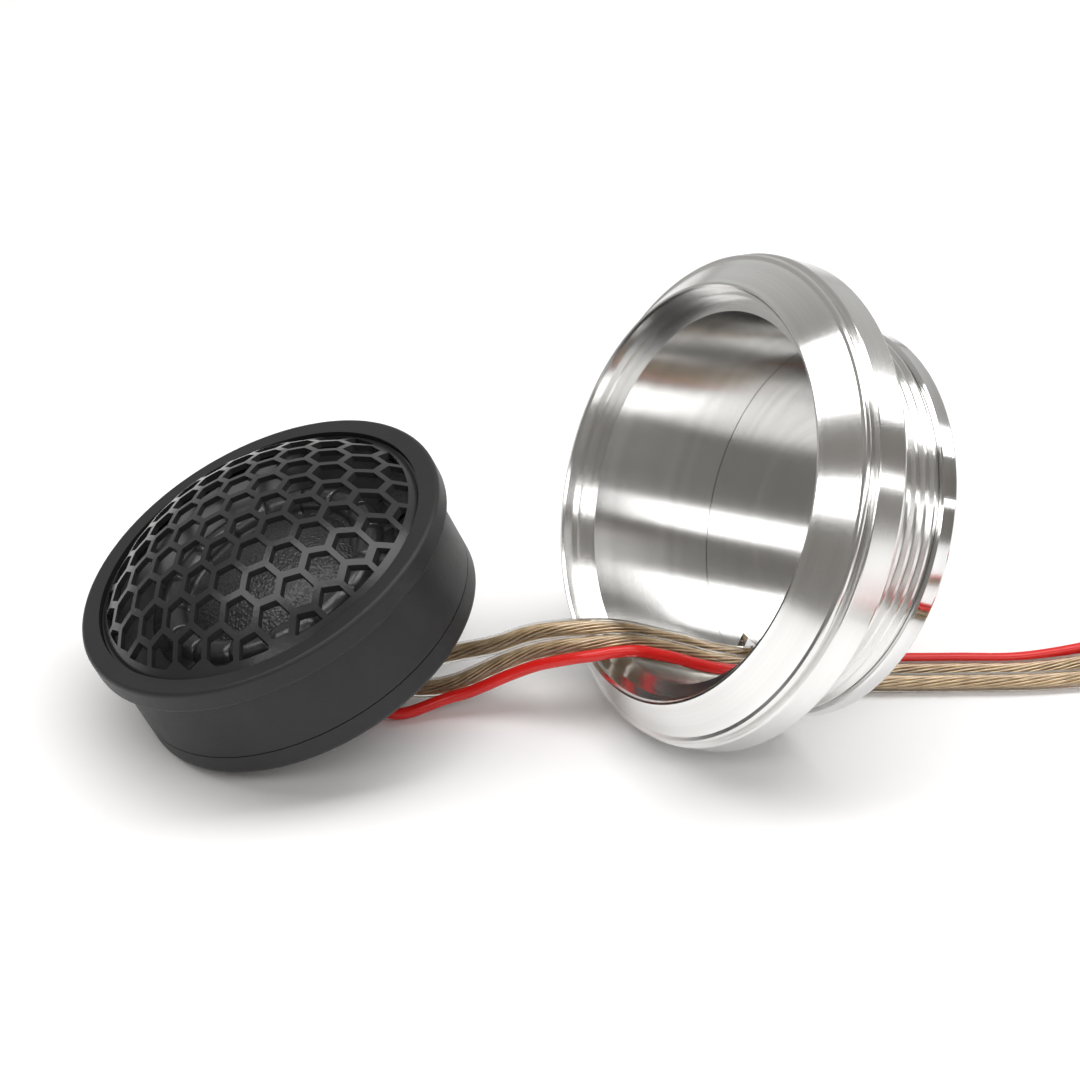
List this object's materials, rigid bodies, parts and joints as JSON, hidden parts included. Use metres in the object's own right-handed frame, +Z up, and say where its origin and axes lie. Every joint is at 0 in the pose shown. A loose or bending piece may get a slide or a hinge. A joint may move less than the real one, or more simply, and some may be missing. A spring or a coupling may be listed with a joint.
{
  "type": "car tweeter",
  "caption": "Black round soft-dome car tweeter with a hexagonal mesh grille, on a clear flat lead that passes through its turned aluminium mounting cup.",
  "frame": {"origin": "centre of the bottom of the tweeter and cup's box, on the surface they stand on", "axes": "+Z up, +X from the tweeter towards the cup and the lead's coil, -Y towards the viewer"},
  "size_m": [0.2116, 0.0972, 0.0605],
  "materials": {
    "body_black": "satin",
    "grille_black": "semi-gloss",
    "dome_cloth": "coated",
    "turned_aluminium": "turned",
    "motor_steel": "plated",
    "magnet_plate": "nickel",
    "copper": "bare",
    "former_film": "film",
    "pad_felt": "felt",
    "board_green": "lacquer",
    "rubber_black": "matte",
    "screw_steel": "blackened",
    "clear_lead": "clear"
  },
  "bodies": {
    "tweeter": {"housing": "body_black", "grille": "grille_black", "chassis": "body_black", "surround": "dome_cloth", "dome_pad": "pad_felt", "pole_plate": "motor_steel", "magnet": "magnet_plate", "yoke": "motor_steel", "terminal_board": "board_green", "terminal_pos": "copper", "terminal_neg": "copper", "tinsel_pos": "copper", "tinsel_neg": "copper", "inner_wire_pos": "copper", "inner_wire_neg": "copper", "rear_cover": "body_black", "cover_screws": "screw_steel", "grommet": "rubber_black", "lead": "clear_lead", "lead_coil": "clear_lead", "coil_tie": "rubber_black", "tinned_ends": "copper"},
    "diaphragm": {"dome": "dome_cloth", "voice_former": "former_film", "voice_winding": "copper"},
    "cup": {"cup_body": "turned_aluminium", "rear_cap": "turned_aluminium"}
  },
  "joints": [
    {"name": "dome_stroke", "type": "slide", "parent": "tweeter", "child": "diaphragm", "axis": [-0.391, -0.1121, 0.9135], "range_m": [-0.0004, 0.0004], "stiffness_N_per_m": 300, "deforming": ["surround"]},
    {"name": "cup_slide", "type": "slide", "parent": "tweeter", "child": "cup", "axis": [1, 0, 0], "range_m": [-0.008, 0.02], "deforming": ["lead"]}
  ]
}
